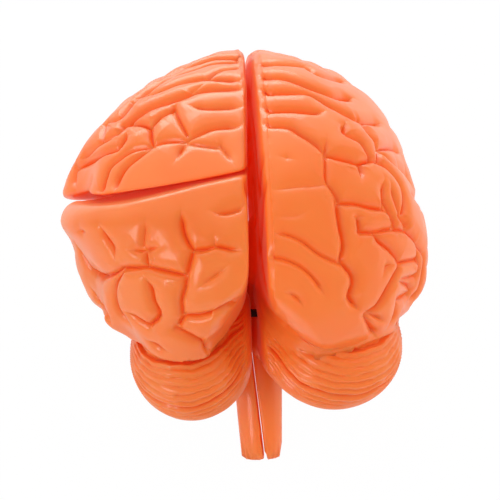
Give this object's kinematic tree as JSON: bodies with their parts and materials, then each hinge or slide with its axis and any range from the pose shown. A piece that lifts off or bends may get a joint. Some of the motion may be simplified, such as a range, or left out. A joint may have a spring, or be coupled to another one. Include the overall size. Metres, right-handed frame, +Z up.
{
  "type": "anatomical brain model",
  "caption": "Life-size teaching model of the brain that comes apart into castings on locating pins, lying nose down on its frontal underside and the end of the brainstem.",
  "frame": {"origin": "centre of the bounding box's bottom face, on the surface that the model lies on", "axes": "+X to the anatomical right, +Y to the front of the brain, +Z up from the surface; the model leans 28 degrees nose down"},
  "size_m": [0.1408, 0.168, 0.1192],
  "materials": {
    "vinyl": "moulded soft vinyl, glossy, orange",
    "pin_plastic": "black, satin"
  },
  "bodies": {
    "right_half": {"right_half": "vinyl", "rear_pin": "pin_plastic", "stem_pin": "pin_plastic"},
    "left_base": {"left_cerebellum": "vinyl", "left_brainstem": "vinyl", "peduncle_pin": "pin_plastic", "cerebellum_pin": "pin_plastic", "brainstem_pin": "pin_plastic"},
    "left_temporal_occipital": {"left_temporal_occipital": "vinyl", "cut_pin_front": "pin_plastic", "cut_pin_rear": "pin_plastic"},
    "left_frontal_parietal": {"left_frontal_parietal": "vinyl"}
  },
  "joints": [
    {"name": "left_half_off", "type": "slide", "parent": "right_half", "child": "left_base", "axis": [-1, 0, 0], "range_m": [0, 0.04]},
    {"name": "temporal_occipital_off", "type": "slide", "parent": "left_base", "child": "left_temporal_occipital", "axis": [0, 0.4695, 0.8829], "range_m": [0, 0.03]},
    {"name": "frontal_parietal_off", "type": "slide", "parent": "left_temporal_occipital", "child": "left_frontal_parietal", "axis": [0, 0.6412, 0.7674], "range_m": [0, 0.03]}
  ]
}
